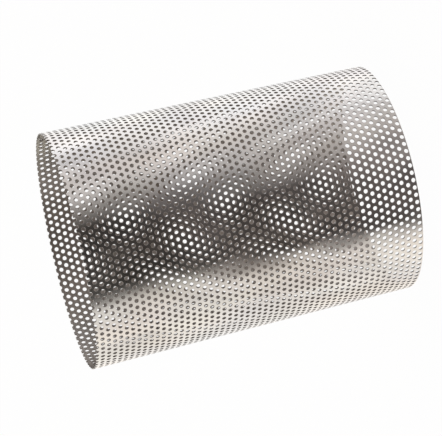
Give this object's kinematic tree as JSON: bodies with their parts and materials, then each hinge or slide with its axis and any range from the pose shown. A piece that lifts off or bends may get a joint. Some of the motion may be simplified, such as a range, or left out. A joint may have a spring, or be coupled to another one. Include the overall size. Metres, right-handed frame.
{
  "type": "strainer screen",
  "caption": "Perforated stainless steel tube, open at both ends, that sits in a pipeline strainer's body and catches debris",
  "frame": {"origin": "centre of the lower rim, on the surface that the tube stands on", "axes": "+Z along the tube's axis, from the lower rim to the upper rim; the seam runs at 10 degrees from +X towards +Y, and the upper rim is longest at -17 degrees"},
  "size_m": [0.079, 0.0764, 0.11],
  "materials": {
    "stainless_sheet": "rolled stainless sheet, semi-bright, punched"
  },
  "bodies": {
    "root": {"screen_tube": "stainless_sheet"}
  },
  "joints": []
}
